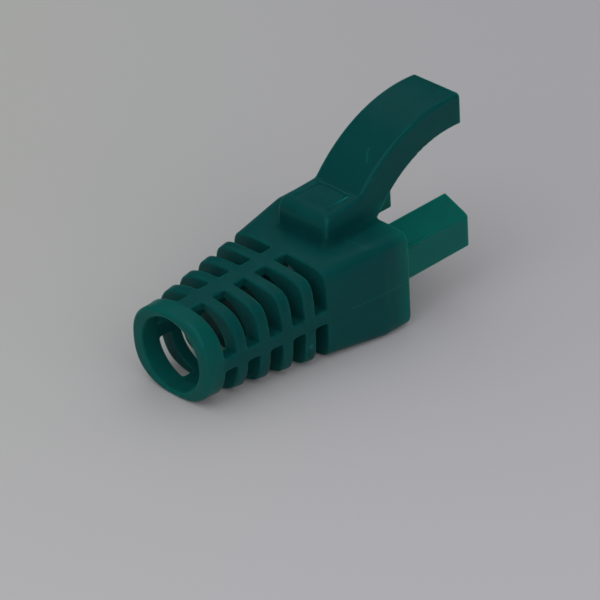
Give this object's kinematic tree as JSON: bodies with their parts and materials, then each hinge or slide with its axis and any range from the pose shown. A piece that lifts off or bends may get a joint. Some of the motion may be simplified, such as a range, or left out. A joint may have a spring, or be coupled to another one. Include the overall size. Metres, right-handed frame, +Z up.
{
  "type": "rj45 strain relief boot",
  "caption": "One-piece moulded strain relief boot for a modular plug, with a slotted flexible sleeve, a plug pocket, side fingers and a curved latch guard.",
  "frame": {"origin": "centre of the cable bore at the rear face of the ring, where the cable leaves", "axes": "+Y along the cable bore from the rear ring towards the plug, +Z up to the latch side with the curved guard, +X across, to the right when looking along +Y"},
  "size_m": [0.0132, 0.0322, 0.0169],
  "materials": {
    "moulded_plastic": "satin"
  },
  "bodies": {
    "root": {"boot": "moulded_plastic"}
  },
  "joints": []
}
